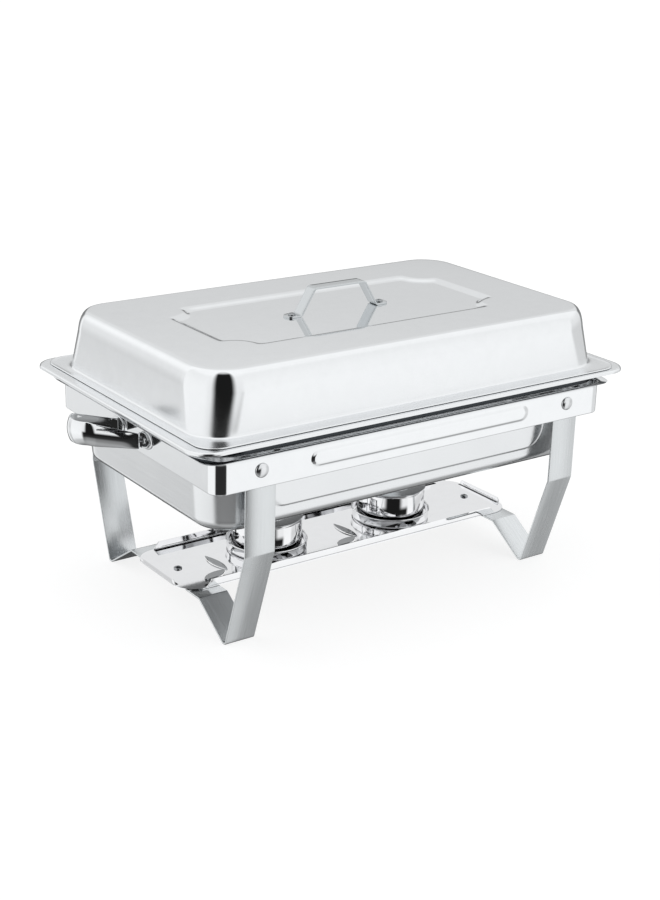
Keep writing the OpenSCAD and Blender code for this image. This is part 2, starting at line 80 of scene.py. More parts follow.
def steel(name, colour, rough, vary=0.05, wave=0.0, wave_scale=9.0, brush=None, brush_bump=0.0,
          smudge=0.03, low=None):
    """Procedural steel: slow roughness clouds, fine brushed lines, faint pressed waviness.

    low = (z, z, extra) makes the metal softer below the first height than above the second."""
    mat = bpy.data.materials.new(name)
    mat.use_nodes = True
    nodes, links = mat.node_tree.nodes, mat.node_tree.links
    bsdf = nodes["Principled BSDF"]
    bsdf.inputs["Metallic"].default_value = 1.0
    coord = nodes.new("ShaderNodeTexCoord")

    def noise(vector, scale, detail, rough_noise=0.5):
        n = nodes.new("ShaderNodeTexNoise")
        n.inputs["Scale"].default_value = scale
        n.inputs["Detail"].default_value = detail
        n.inputs["Roughness"].default_value = rough_noise
        links.new(vector, n.inputs["Vector"])
        return n.outputs["Fac"]

    def ramp(source, from_lo, from_hi, to_lo, to_hi, kind="LINEAR"):
        n = nodes.new("ShaderNodeMapRange")
        n.interpolation_type = kind
        n.inputs["From Min"].default_value = from_lo
        n.inputs["From Max"].default_value = from_hi
        n.inputs["To Min"].default_value = to_lo
        n.inputs["To Max"].default_value = to_hi
        links.new(source, n.inputs["Value"])
        return n.outputs["Result"]

    def bump(height, distance, under):
        n = nodes.new("ShaderNodeBump")
        n.inputs["Strength"].default_value = 1.0
        n.inputs["Distance"].default_value = distance
        links.new(height, n.inputs["Height"])
        if under is not None:
            links.new(under, n.inputs["Normal"])
        return n.outputs["Normal"]

    cloud = noise(coord.outputs["Object"], 14.0, 5.0, 0.6)
    grain_map = nodes.new("ShaderNodeMapping")
    grain_map.inputs["Scale"].default_value = brush or (60.0, 60.0, 60.0)
    links.new(coord.outputs["Object"], grain_map.inputs["Vector"])
    grain = noise(grain_map.outputs["Vector"], 1.0, 4.0, 0.7)

    tint = nodes.new("ShaderNodeVectorMath")
    tint.operation = "SCALE"
    tint.inputs[0].default_value = colour
    links.new(ramp(grain, NOISE_LO, NOISE_HI, 1.0 - smudge, 1.0), tint.inputs["Scale"])
    links.new(tint.outputs["Vector"], bsdf.inputs["Base Color"])

    # the roughness follows the mean of the clouds and the grain
    half = nodes.new("ShaderNodeMath")
    half.operation = "MULTIPLY"
    half.inputs[1].default_value = 0.5
    links.new(grain, half.inputs[0])
    mixed = nodes.new("ShaderNodeMath")
    mixed.operation = "MULTIPLY_ADD"
    mixed.inputs[1].default_value = 0.5
    links.new(cloud, mixed.inputs[0])
    links.new(half.outputs["Value"], mixed.inputs[2])
    rough_out = ramp(mixed.outputs["Value"], NOISE_LO, NOISE_HI, max(rough - vary, 0.02),
                     rough + vary)
    if low:
        where = nodes.new("ShaderNodeSeparateXYZ")
        links.new(coord.outputs["Object"], where.inputs[0])
        both = nodes.new("ShaderNodeMath")
        both.operation = "ADD"
        links.new(rough_out, both.inputs[0])
        links.new(ramp(where.outputs["Z"], low[0], low[1], low[2], 0.0, "SMOOTHSTEP"),
                  both.inputs[1])
        rough_out = both.outputs["Value"]
    links.new(rough_out, bsdf.inputs["Roughness"])

    last = None
    if wave:
        last = bump(noise(coord.outputs["Object"], wave_scale, 1.0), wave, last)
    if brush_bump:
        last = bump(grain, brush_bump, last)
    if last is not None:
        links.new(last, bsdf.inputs["Normal"])
    return mat


M = {
    "lid": steel("lid_polished", (0.86, 0.87, 0.88), 0.055, 0.025, wave=0.00012, wave_scale=7.0,
                 low=(0.245, 0.294, 0.16)),
    "pan": steel("pan_polished", (0.85, 0.86, 0.87), 0.19, 0.05, wave=0.0002, wave_scale=8.0,
                 brush=(14.0, 14.0, 420.0), brush_bump=0.0000012),
    "food": steel("food_pan_satin", (0.76, 0.77, 0.78), 0.24, 0.06, brush=(40.0, 40.0, 300.0),
                  brush_bump=0.000002),
    "band": steel("band_polished", (0.87, 0.88, 0.89), 0.06, 0.025, wave=0.00005, wave_scale=10.0),
    "leg": steel("leg_brushed", (0.76, 0.78, 0.79), 0.24, 0.07, brush=(700.0, 18.0, 18.0),
                 brush_bump=0.000006, smudge=0.10),
    # painted shade: near-black colour for the riser in the shaded gap under the pan's rim
    "riser_painted_shade": steel("riser_shaded", (0.045, 0.05, 0.055), 0.22, 0.08),
    "handle": steel("handle_satin", (0.60, 0.62, 0.63), 0.08, 0.03, brush=(20.0, 500.0, 20.0),
                    brush_bump=0.000002),
    "chrome": steel("chrome_bright", (0.86, 0.87, 0.88), 0.04, 0.02),
    "rivet": steel("rivet_polished", (0.78, 0.79, 0.80), 0.13, 0.04),
    "screw": steel("screw_steel", (0.36, 0.37, 0.38), 0.14, 0.05),
    "tray": steel("tray_bright", (0.93, 0.93, 0.94), 0.05, 0.02, wave=0.00006, wave_scale=12.0),
    "burner": steel("burner_bright", (0.88, 0.88, 0.89), 0.05, 0.02, wave=0.00006, wave_scale=18.0),
    "snuffer": steel("snuffer_polished", (0.74, 0.75, 0.76), 0.14, 0.04),
    # painted shade: dark grey colour for the lanced leaves of the tray, though they are the same
    # bright steel as the sheet
    "leaf": steel("leaf_painted_shade", (0.40, 0.41, 0.42), 0.16, 0.05),
    "knob": steel("knob_dark", (0.32, 0.33, 0.34), 0.28, 0.06),
}


# ---------------------------------------------------------------- mesh helpers
def make(name, verts, faces, mat, body, nodes=(), sharp=40.0, bevel=0.0, weld=True):
    """One piece from points in mm and faces, smooth except across sharp folds."""
    bm = bmesh.new()
    vs = [bm.verts.new(Vector(v) * MM) for v in verts]
    for f in faces:
        if len(set(f)) > 2:
            bm.faces.new([vs[i] for i in f])
    if weld:
        bmesh.ops.remove_doubles(bm, verts=bm.verts, dist=1e-6)
    bmesh.ops.recalc_face_normals(bm, faces=bm.faces)
    mesh = bpy.data.meshes.new(name)
    bm.to_mesh(mesh)
    bm.free()
    for p in mesh.polygons:
        p.use_smooth = True
    mesh.set_sharp_from_angle(angle=math.radians(sharp))
    obj = bpy.data.objects.new(name, mesh)
    bpy.context.scene.collection.objects.link(obj)
    mesh.materials.append(M[mat])
    if bevel:
        b = obj.modifiers.new("soft_edges", "BEVEL")
        b.width = bevel * MM
        b.segments = 3
        b.limit_method = "ANGLE"
        b.angle_limit = math.radians(40)
        b.harden_normals = True
    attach(obj, body)
    if nodes:
        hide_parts(*nodes)
    return obj


def even_normals(obj):
    """Weights the normals by face area, so that the large pressed faces stay even."""
    w = obj.modifiers.new("even_normals", "WEIGHTED_NORMAL")
    w.keep_sharp = True


def rounded(hx, hy, r, z, nc=10, nx=1, ny=1):
    """Points round a rectangle with rounded corners; nx and ny cut its straight sides."""
    pts = []
    for c in range(4):
        sx = 1 if c in (0, 3) else -1
        sy = 1 if c < 2 else -1
        cx, cy = sx * (hx - r), sy * (hy - r)
        arc = [(cx + r * math.cos(a), cy + r * math.sin(a))
               for a in (math.pi / 2 * (c + i / nc) for i in range(nc + 1))]
        pts += arc
        n = nx if c in (0, 2) else ny
        c2 = (c + 1) % 4
        tx = 1 if c2 in (0, 3) else -1
        ty = 1 if c2 < 2 else -1
        a2 = math.pi / 2 * c2
        end = (tx * (hx - r) + r * math.cos(a2), ty * (hy - r) + r * math.sin(a2))
        for i in range(1, n):
            k = i / n
            pts.append((arc[-1][0] * (1 - k) + end[0] * k, arc[-1][1] * (1 - k) + end[1] * k))
    return [(x, y, z) for x, y in pts]


def ticket(e, z, nc=10, nx=1, ny=1):
    """The scooped-corner outline of the lid's panel, drawn in by e, with softened points."""
    a, b, r = PANEL_A, PANEL_B, SCOOP_R + e
    pts = []
    for c in range(4):
        sx = 1 if c in (0, 3) else -1
        sy = 1 if c < 2 else -1
        arc = []
        for i in range(nc + 1):
            t = math.pi / 2 * i / nc
            if c % 2:
                t = math.pi / 2 - t
            lim_s = math.asin(min(1.0, e / r))
            lo, hi = lim_s, math.pi / 2 - lim_s
            t2 = lo + (hi - lo) * (t / (math.pi / 2))
            arc.append((sx * (a - r * math.sin(t2)), sy * (b - r * math.cos(t2))))
        pts.append(arc)
    out = []
    for c in range(4):
        out += pts[c]
        n = nx if c in (0, 2) else ny
        p, q = pts[c][-1], pts[(c + 1) % 4][0]
        for i in range(1, n):
            k = i / n
            out.append((p[0] * (1 - k) + q[0] * k, p[1] * (1 - k) + q[1] * k))
    for _ in range(2):
        m = len(out)
        out = [((out[i - 1][0] + 2 * out[i][0] + out[(i + 1) % m][0]) / 4,
                (out[i - 1][1] + 2 * out[i][1] + out[(i + 1) % m][1]) / 4) for i in range(m)]
    return [(x, y, z) for x, y in out]


def loft(rings, first_cap=True, last_cap=True):
    """Points and faces of a skin through rings with equal numbers of points."""
    m = len(rings[0])
    verts = [p for r in rings for p in r]
    faces = []
    for k in range(len(rings) - 1):
        for i in range(m):
            j = (i + 1) % m
            faces.append((k * m + i, k * m + j, (k + 1) * m + j, (k + 1) * m + i))
    if first_cap:
        faces.append(tuple(range(m - 1, -1, -1)))
    if last_cap:
        faces.append(tuple((len(rings) - 1) * m + i for i in range(m)))
    return verts, faces


def arc_rows(hx, hy, r, z, edge, a0, a1, n):
    """Rows of a quarter-round press from angle a0 to a1, in degrees."""
    rows = []
    for i in range(n + 1):
        a = math.radians(a0 + (a1 - a0) * i / n)
        c, s = math.cos(a), math.sin(a)
        rows.append((hx + edge * c, hy + edge * c, r + edge * c, z + edge * s))
    return rows


def smooth(x, lo, hi):
    """0 below lo and 1 above hi, with a soft step between them."""
    t = min(max((x - lo) / (hi - lo), 0.0), 1.0)
    return t * t * (3 - 2 * t)


def in_slab(x, z, hx, hz, r):
    """Distance inside (positive) a rounded rectangle centred on the origin."""
    dx, dz = abs(x) - (hx - r), abs(z) - (hz - r)
    out = math.hypot(max(dx, 0.0), max(dz, 0.0)) + min(max(dx, dz), 0.0)
    return r - out


def lathe(profile, n=72, centre=(0, 0, 0), turn=None):
    """Points and faces of a profile of (radius, height) turned about Z."""
    verts, faces = [], []
    rings = []
    for r, z in profile:
        if r < 1e-6:
            rings.append([len(verts)])
            verts.append((0, 0, z))
        else:
            rings.append(list(range(len(verts), len(verts) + n)))
            verts += [(r * math.cos(2 * math.pi * i / n), r * math.sin(2 * math.pi * i / n), z)
                      for i in range(n)]
    for a, b in zip(rings, rings[1:]):
        for i in range(n):
            j = (i + 1) % n
            if len(a) == 1:
                faces.append((a[0], b[j], b[i]))
            elif len(b) == 1:
                faces.append((a[i], a[j], b[0]))
            else:
                faces.append((a[i], a[j], b[j], b[i]))
    if turn is not None:
        verts = [tuple(turn @ Vector(v)) for v in verts]
    verts = [(v[0] + centre[0], v[1] + centre[1], v[2] + centre[2]) for v in verts]
    return verts, faces


def join(*parts):
    """Points and faces of several meshes as one."""
    verts, faces = [], []
    for v, f in parts:
        o = len(verts)
        verts += v
        faces += [tuple(i + o for i in g) for g in f]
    return verts, faces


def filleted(pts, radius, n=6):
    """A line of 2-D points with its corners rounded; radius may be one per corner."""
    out = [Vector(pts[0])]
    for i in range(1, len(pts) - 1):
        p, a, b = Vector(pts[i]), Vector(pts[i - 1]), Vector(pts[i + 1])
        r = radius[i - 1] if isinstance(radius, (list, tuple)) else radius
        u, v = (a - p).normalized(), (b - p).normalized()
        half = u.angle(v) / 2
        cut = min(r / math.tan(half), (a - p).length * 0.48, (b - p).length * 0.48)
        r = cut * math.tan(half)
        s, e = p + u * cut, p + v * cut
        centre = p + (u + v).normalized() * (r / math.sin(half))
        a0, a1 = s - centre, e - centre
        total = a0.angle(a1)
        sign = 1 if a0.x * a1.y - a0.y * a1.x > 0 else -1
        for k in range(n + 1):
            t = sign * total * k / n
            out.append(centre + Vector((a0.x * math.cos(t) - a0.y * math.sin(t),
                                        a0.x * math.sin(t) + a0.y * math.cos(t))))
    out.append(Vector(pts[-1]))
    return out


def dense(pts, step):
    """A line of points cut into pieces of about one step."""
    out = [pts[0]]
    for a, b in zip(pts, pts[1:]):
        n = max(1, int((b - a).length / step))
        out += [a.lerp(b, k / n) for k in range(1, n + 1)]
    return out


def strip(path, thick, span, place, edge=0.35, across=1):
    """A flat strip swept along 2-D points. span(p) gives its two sides at a point."""
    rings = []
    n, h = len(path), thick / 2

    def corner(s0, q0, angles):
        return [(s0 + edge * math.cos(math.radians(a)), q0 + edge * math.sin(math.radians(a)))
                for a in angles]

    for i, p in enumerate(path):
        d0 = (p - path[i - 1]).normalized() if i else (path[1] - p).normalized()
        d1 = (path[i + 1] - p).normalized() if i < n - 1 else d0
        t = (d0 + d1).normalized()
        normal = Vector((-t.y, t.x)) / max(t.dot(d0), 0.5)
        lo, hi = span(p)
        row = [lo + edge + (hi - lo - 2 * edge) * k / across for k in range(across + 1)]
        sec = [(s, -h) for s in row]
        sec += corner(hi - edge, -h + edge, (-60, -30, 0)) + corner(hi - edge, h - edge, (0, 30, 60))
        sec += [(s, h) for s in reversed(row)]
        sec += corner(lo + edge, h - edge, (120, 150, 180))
        sec += corner(lo + edge, -h + edge, (180, 210, 240))
        ring = []
        for s, q in sec:
            flat = p + normal * q
            ring.append(place(flat.x, flat.y, s))
        rings.append(ring)
    return loft(rings)


def cross_head(radius, high, centre, turn=0.0, n=64):
    """A domed screw head with a cross recess, sitting at the centre given."""
    steps = 14
    verts, faces = [], []
    for k in range(steps + 1):
        r = radius * k / steps
        for i in range(n):
            a = 2 * math.pi * i / n
            x, y = r * math.cos(a), r * math.sin(a)
            u = x * math.cos(turn) + y * math.sin(turn)
            v = -x * math.sin(turn) + y * math.cos(turn)
            z = high * math.sqrt(max(0.0, 1 - (r / radius) ** 2 * 0.86))
            arm = min(abs(u), abs(v))
            reach = max(abs(u), abs(v))
            cut = (1 - smooth(arm, 0.28, 0.62)) * (1 - smooth(reach, radius * 0.52, radius * 0.66))
            z -= high * 0.75 * cut
            verts.append((centre[0] + x, centre[1] + y, centre[2] + z))
    for k in range(steps):
        for i in range(n):
            j = (i + 1) % n
            faces.append((k * n + i, k * n + j, (k + 1) * n + j, (k + 1) * n + i))
    base = len(verts)
    verts += [(centre[0] + radius * math.cos(2 * math.pi * i / n),
               centre[1] + radius * math.sin(2 * math.pi * i / n), centre[2]) for i in range(n)]
    for i in range(n):
        j = (i + 1) % n
        faces.append((steps * n + i, steps * n + j, base + j, base + i))
    faces.append(tuple(base + i for i in range(n - 1, -1, -1)))
    return verts, faces


# ---------------------------------------------------------------- lid
def shoulder(t, a0, a1, n):
    """Rows of the lid's tall rounded shoulder, t inside its outer face."""
    rows = []
    for i in range(n + 1):
        a = math.radians(a0 + (a1 - a0) * i / n)
        out = (SHOULDER_IN - t) * math.cos(a) - SHOULDER_IN - WALL_LEAN
        rows.append((DOME_HX + out, DOME_HY + out, 34 - t + 12 * math.cos(a),
                     LID_TOP - SHOULDER_H + (SHOULDER_H - t) * math.sin(a)))
    return rows


def build_lid():
    nc, nx, ny = 14, 40, 22
    t = SHEET
    flat = SHOULDER_IN + WALL_LEAN
    # the recess of the panel: how far in from its outline, and how deep there
    steps = [(-7.0, 0.0), (-5.0, 0.0), (-3.2, 0.03), (-2.0, 0.12), (-1.0, 0.28), (0.0, 0.55),
             (1.0, 0.98), (2.4, 1.7), (3.4, 2.2), (4.4, 2.6), (5.4, 2.87), (6.4, 2.98), (8.0, 3.0),
             (10.0, 3.0)]
    rings = []
    for e, d in reversed(steps):
        rings.append(ticket(e, LID_TOP - t - d, nc, nx, ny))
    rings.append(rounded(DOME_HX - flat - 9, DOME_HY - flat - 9, 25, LID_TOP - t, nc, nx, ny))
    for hx, hy, r, z in shoulder(t, SHOULDER_HIGH, SHOULDER_LOW, 14):
        rings.append(rounded(hx, hy, r, z, nc, nx, ny))
    inner_foot = [(DOME_HX - t - 0.2, DOME_HY - t - 0.2, 37.4, LID_FOOT + 6),
                  (DOME_HX - t, DOME_HY - t, 37.3, LID_FOOT + 2.6),
                  (DOME_HX + 0.4, DOME_HY + 0.4, 38, LID_FOOT + 0.9),
                  (DOME_HX + 2.2, DOME_HY + 2.2, 39, LID_FOOT + 0.15),
                  (DOME_HX + 4, DOME_HY + 4, 38, LID_FOOT),
                  (LID_HX - 1, LID_HY - 1, 24, LID_FOOT)]
    wall_foot = (DOME_HX, DOME_HY, 38, LID_FOOT + 4.6)
    edge = [(LID_HX - 0.3, LID_HY - 0.3, 23.7, LID_FOOT + 0.15),
            (LID_HX, LID_HY, 24, LID_FOOT + 0.7),
            (LID_HX - 0.3, LID_HY - 0.3, 23.7, LID_FOOT + 1.25),
            (LID_HX - 1, LID_HY - 1, 23, LID_FOOT + 1.4),
            (LID_HX - 2.5, LID_HY - 2.5, 23.5, LID_FOOT + 1.15),
            (LID_HX - 4, LID_HY - 4, 25, LID_FOOT + 0.95),
            (DOME_HX + 5, DOME_HY + 5, 38, LID_FOOT + 0.95),
            (DOME_HX + 3.2, DOME_HY + 3.2, 40, LID_FOOT + 1.1),
            (DOME_HX + 1.4, DOME_HY + 1.4, 39.2, LID_FOOT + 1.8),
            (DOME_HX + 0.4, DOME_HY + 0.4, 38.4, LID_FOOT + 3.0), wall_foot]
    # the wall leans in evenly from its foot to where the shoulder starts
    wall_head = shoulder(0, SHOULDER_LOW, SHOULDER_LOW, 1)[0]
    for k in (0.12, 0.3, 0.5, 0.7, 0.88):
        edge.append(tuple(a + (b - a) * k for a, b in zip(wall_foot, wall_head)))
    for hx, hy, r, z in inner_foot + edge + shoulder(0, SHOULDER_LOW, SHOULDER_HIGH, 24):
        rings.append(rounded(hx, hy, r, z, nc, nx, ny))
    rings.append(rounded(DOME_HX - flat - 3, DOME_HY - flat - 3, 31, LID_TOP, nc, nx, ny))
    rings.append(rounded(DOME_HX - flat - 10, DOME_HY - flat - 10, 24, LID_TOP, nc, nx, ny))
    for e, d in steps:
        rings.append(ticket(e, LID_TOP - d, nc, nx, ny))
    v, f = loft(rings)
    even_normals(make("lid_skin", v, f, "lid", "lid", ["lid_shell"], sharp=60))


build_lid()

floor_z = LID_TOP - PANEL_DROP
grip = [(-GRIP_END_X, floor_z + 1), (-GRIP_BEND_X, floor_z + 1), (-GRIP_TOP_X, GRIP_TOP_Z),
        (GRIP_TOP_X, GRIP_TOP_Z), (GRIP_BEND_X, floor_z + 1), (GRIP_END_X, floor_z + 1)]


def grip_span(p):
    out = abs(p.x) - GRIP_ROUND_X
    half = GRIP_R if out < 0 else max(1.2, math.sqrt(max(0.0, GRIP_R ** 2 - out ** 2)))
    return -half, half


grip_path = dense(filleted(grip, [4.0, 4.5, 4.5, 4.0], 8), 1.5)
v, f = strip(grip_path, GRIP_T, grip_span, lambda a, b, s: (a, s, b), across=4)
make("lid_handle_strip", v, f, "handle", "lid", ["lid_handle"], sharp=50)
heads = [cross_head(4.2, 2.6, (sx * GRIP_SCREW_X, 0, floor_z + GRIP_T), turn=0.35 + sx * 0.2)
         for sx in (-1, 1)]
shanks = [lathe([(0, -8.4), (1.7, -8.4), (2.0, -8.0), (2.0, 0.1), (0, 0.1)], 24,
                (sx * GRIP_SCREW_X, 0, floor_z + GRIP_T)) for sx in (-1, 1)]
v, f = join(*heads, *shanks)
make("lid_handle_screw_heads", v, f, "screw", "lid", ["lid_handle_screws"])


# ---------------------------------------------------------------- pans
def press(ring_pts, hy, wall):
    """Pushes the raised panel out of the front and back walls of a ring of points."""
    out = []
    for x, y, z in ring_pts:
        k = in_slab(x, z - RAISED_Z, RAISED_HX, RAISED_HZ, RAISED_R)
        lift = RAISED_OUT * smooth(k, 0.0, 2.2)
        if abs(y) > hy - 3.0 and z < RAISED_END_Z:
            y += math.copysign(lift * wall, y)
        out.append((x, y, z))
    return out


def build_water_pan():
    nc, nx, ny = 12, 220, 24
    t, foot = SHEET, PAN_FOOT_R
    low_x, low_y = BODY_HX - BODY_LEAN_X - foot, BODY_HY - BODY_LEAN_Y - foot
    z_foot = PAN_FLOOR + foot

    def wall_rows(inset, up):
        rows = []
        zs = [z_foot + (LEDGE_Z - 2.5 - z_foot) * k / 30 for k in range(31)]
        # closer rows at the raised panel's lower edge
        zs = sorted(zs + [RAISED_LOW_Z + 0.9 * k for k in range(-3, 5)])
        for z in zs:
            k = (z - z_foot) / (LEDGE_Z - z_foot)
            rows.append((BODY_HX - BODY_LEAN_X + BODY_LEAN_X * k - inset,
                         BODY_HY - BODY_LEAN_Y + BODY_LEAN_Y * k - inset, 40 + 2 * k - inset, z))
        return rows if up else rows[::-1]

    rows = [(low_x - 14, low_y - 14, 18, PAN_FLOOR, 0), (low_x - 3, low_y - 3, 25, PAN_FLOOR, 0)]
    rows += [(*w, 0) for w in arc_rows(low_x, low_y, 28, z_foot, foot, -90, -6, 10)]
    rows += [(*w, 1) for w in wall_rows(0, True)]
    rows += [(*w, 0) for w in [
        (BODY_HX + 0.3, BODY_HY + 0.3, 42.3, LEDGE_Z - 1.0),
        (BODY_HX + 1.2, BODY_HY + 1.2, 43, LEDGE_Z - 0.25),
        (BODY_HX + 3, BODY_HY + 3, 44, LEDGE_Z), (RISER_HX - 2.2, RISER_HY - 2.2, 44.6, LEDGE_Z),
        (RISER_HX - 0.8, RISER_HY - 0.8, 45.5, LEDGE_Z + 0.4),
        (RISER_HX - 0.1, RISER_HY - 0.1, 46, LEDGE_Z + 1.6),
        (RISER_HX, RISER_HY, 46, LEDGE_Z + 4), (RISER_HX, RISER_HY, 46, RIM_Z - 5),
        (RISER_HX + 0.3, RISER_HY + 0.3, 46, RIM_Z - 2.6),
        (RISER_HX + 1.4, RISER_HY + 1.4, 45.5, RIM_Z - 1.1),
        (RISER_HX + 3, RISER_HY + 3, 44, RIM_Z - t), (PAN_HX - 3, PAN_HY - 3, 24, RIM_Z - t),
        (PAN_HX - 1.3, PAN_HY - 1.3, 24.7, RIM_Z - 1.2), (PAN_HX - t, PAN_HY - t, 25.3, RIM_Z - 2.4),
        (PAN_HX - t, PAN_HY - t, 25.3, RIM_Z - 3.8), (PAN_HX - 0.35, PAN_HY - 0.35, 25.6, RIM_Z - 4),
        (PAN_HX, PAN_HY, 26, RIM_Z - 3.8), (PAN_HX, PAN_HY, 26, RIM_Z - 2.2),
        (PAN_HX - 0.5, PAN_HY - 0.5, 25.6, RIM_Z - 0.9), (PAN_HX - 1.6, PAN_HY - 1.6, 25, RIM_Z - 0.2),
        (PAN_HX - 3, PAN_HY - 3, 24.4, RIM_Z), (RISER_HX + 3, RISER_HY + 3, 44, RIM_Z),
        (RISER_HX + 1, RISER_HY + 1, 45, RIM_Z - 0.4),
        (RISER_HX - t + 0.2, RISER_HY - t + 0.2, 45.4, RIM_Z - 2),
        (RISER_HX - t, RISER_HY - t, 45.4, RIM_Z - 5),
        (RISER_HX - t, RISER_HY - t, 45.4, LEDGE_Z + 4),
        (RISER_HX - t - 1, RISER_HY - t - 1, 44.6, LEDGE_Z + t + 0.5),
        (RISER_HX - t - 3, RISER_HY - t - 3, 43.5, LEDGE_Z + t),
        (BODY_HX + 2, BODY_HY + 2, 43, LEDGE_Z + t), (BODY_HX, BODY_HY, 42, LEDGE_Z + t - 0.5)]]
    rows += [(*w, 1) for w in wall_rows(t, False)]
    rows += [(*w, 0) for w in arc_rows(low_x, low_y, 28, z_foot, foot - t, -6, -90, 10)]
    rows += [(low_x - 3, low_y - 3, 25, PAN_FLOOR + t, 0),
             (low_x - 14, low_y - 14, 18, PAN_FLOOR + t, 0)]
    rings = []
    for hx, hy, r, z, wall in rows:
        ring_pts = rounded(hx, hy, r, z, nc, nx, ny)
        rings.append(press(ring_pts, hy, wall) if wall else ring_pts)
    v, f = loft(rings)
    pan = make("water_pan_skin", v, f, "pan", "water_pan", ["water_pan"], sharp=60)
    even_normals(pan)
    # the riser between the rim and the band gets a near-black steel colour as painted shade, for the
    # shade in the gap under the rim
    pan.data.materials.append(M["riser_painted_shade"])
    for p in pan.data.polygons:
        c, n = p.center / MM, p.normal
        if LEDGE_Z + 1.5 < c.z < RIM_Z - 3.5 and n.x * c.x + n.y * c.y > 0.3 and abs(n.z) < 0.5 \
                and (abs(c.x) < RISER_HX + 1 and abs(c.y) < RISER_HY + 1):
            p.material_index = 1


build_water_pan()


def build_food_pan():
    nc, nx, ny = 10, 30, 18
    t, foot, wx, wy = SHEET, FOOD_FOOT_R, FOOD_WALL_X, FOOD_WALL_Y
    low_x, low_y = wx - 5 - foot, wy - 5 - foot
    z0 = FOOD_TOP - FOOD_DEPTH
    rows = [(low_x - 12, low_y - 12, 22, z0), (low_x - 2, low_y - 2, 32, z0)]
    rows += arc_rows(low_x, low_y, 34, z0 + foot, foot, -90, -5, 10)
    rows += [(wx - 2, wy - 2, 44, FOOD_TOP - 24), (wx, wy, 44, FOOD_TOP - 4),
             (wx + 0.6, wy + 0.6, 44.4, FOOD_TOP - 1.8), (wx + 2, wy + 2, 44, FOOD_TOP - t),
             (FOOD_HX - 1, FOOD_HY - 1, 43, FOOD_TOP - t), (FOOD_HX, FOOD_HY, 44, FOOD_TOP - t / 2),
             (FOOD_HX - 1, FOOD_HY - 1, 43, FOOD_TOP), (wx + 2, wy + 2, 43, FOOD_TOP),
             (wx + 0.2, wy + 0.2, 43, FOOD_TOP - 0.7), (wx - t, wy - t, 43, FOOD_TOP - 3),
             (wx - 2 - t, wy - 2 - t, 43, FOOD_TOP - 24)]
    rows += arc_rows(low_x, low_y, 34, z0 + foot, foot - t, -5, -90, 10)
    rows += [(low_x - 2, low_y - 2, 32, z0 + t), (low_x - 12, low_y - 12, 22, z0 + t)]
    v, f = loft([rounded(*w, nc, nx, ny) for w in rows])
    make("food_pan_skin", v, f, "food", "food_pan", ["food_pan"], sharp=60)


build_food_pan()


# ---------------------------------------------------------------- band of the stand
def build_band():
    nc, nx, ny = 10, 250, 30
    t = BAND_T
    hx, hy = BAND_HX, BAND_HY
    fx, fy = hx + FLANGE_X, hy + FLANGE_Y
    rows = [(hx - t, hy - t, 14 - t, BAND_LOW + 0.5), (hx - t + 0.3, hy - t + 0.3, 13, BAND_LOW),
            (hx - 0.3, hy - 0.3, 13.7, BAND_LOW), (hx, hy, 14, BAND_LOW + 0.5)]
    rows += [(hx, hy, 14, BAND_LOW + 1.5 + (BAND_TOP - 4 - BAND_LOW - 1.5) * k / 22)
             for k in range(23)]
    rows += [(hx + 0.15, hy + 0.15, 14.1, BAND_TOP - 2), (hx + 0.7, hy + 0.7, 14.5, BAND_TOP - 0.8),
             (hx + 2, hy + 2, 15.3, BAND_TOP), (fx - 0.6, fy - 0.6, 16.6, BAND_TOP),
             (fx, fy, 17, BAND_TOP + 0.6), (fx - 0.6, fy - 0.6, 16.6, BAND_TOP + t),
             (hx + 1.5, hy + 1.5, 15, BAND_TOP + t), (hx - 0.4, hy - 0.4, 13.6, BAND_TOP + 0.7),
             (hx - t, hy - t, 12.8, BAND_TOP - 1)]
    rows += [(hx - t, hy - t, 14 - t, BAND_TOP - 5 - (BAND_TOP - 5 - BAND_LOW - 1.5) * k / 20)
             for k in range(21)]
    rings = []
    for x_half, y_half, r, z in rows:
        pts = []
        for x, y, zz in rounded(x_half, y_half, r, z, nc, nx, ny):
            k = in_slab(x, zz - BAR_Z, BAR_HX, BAR_HZ, BAR_R)
            if abs(y) > y_half - 0.01 and k > -3:
                y += math.copysign(BAR_OUT * smooth(k, -0.6, 1.8), y)
            pts.append((x, y, zz))
        rings.append(pts)
    rings.append(rings[0])
    v, f = loft(rings, False, False)
    even_normals(make("band_skin", v, f, "band", "stand", ["frame_band"], sharp=60))


build_band()

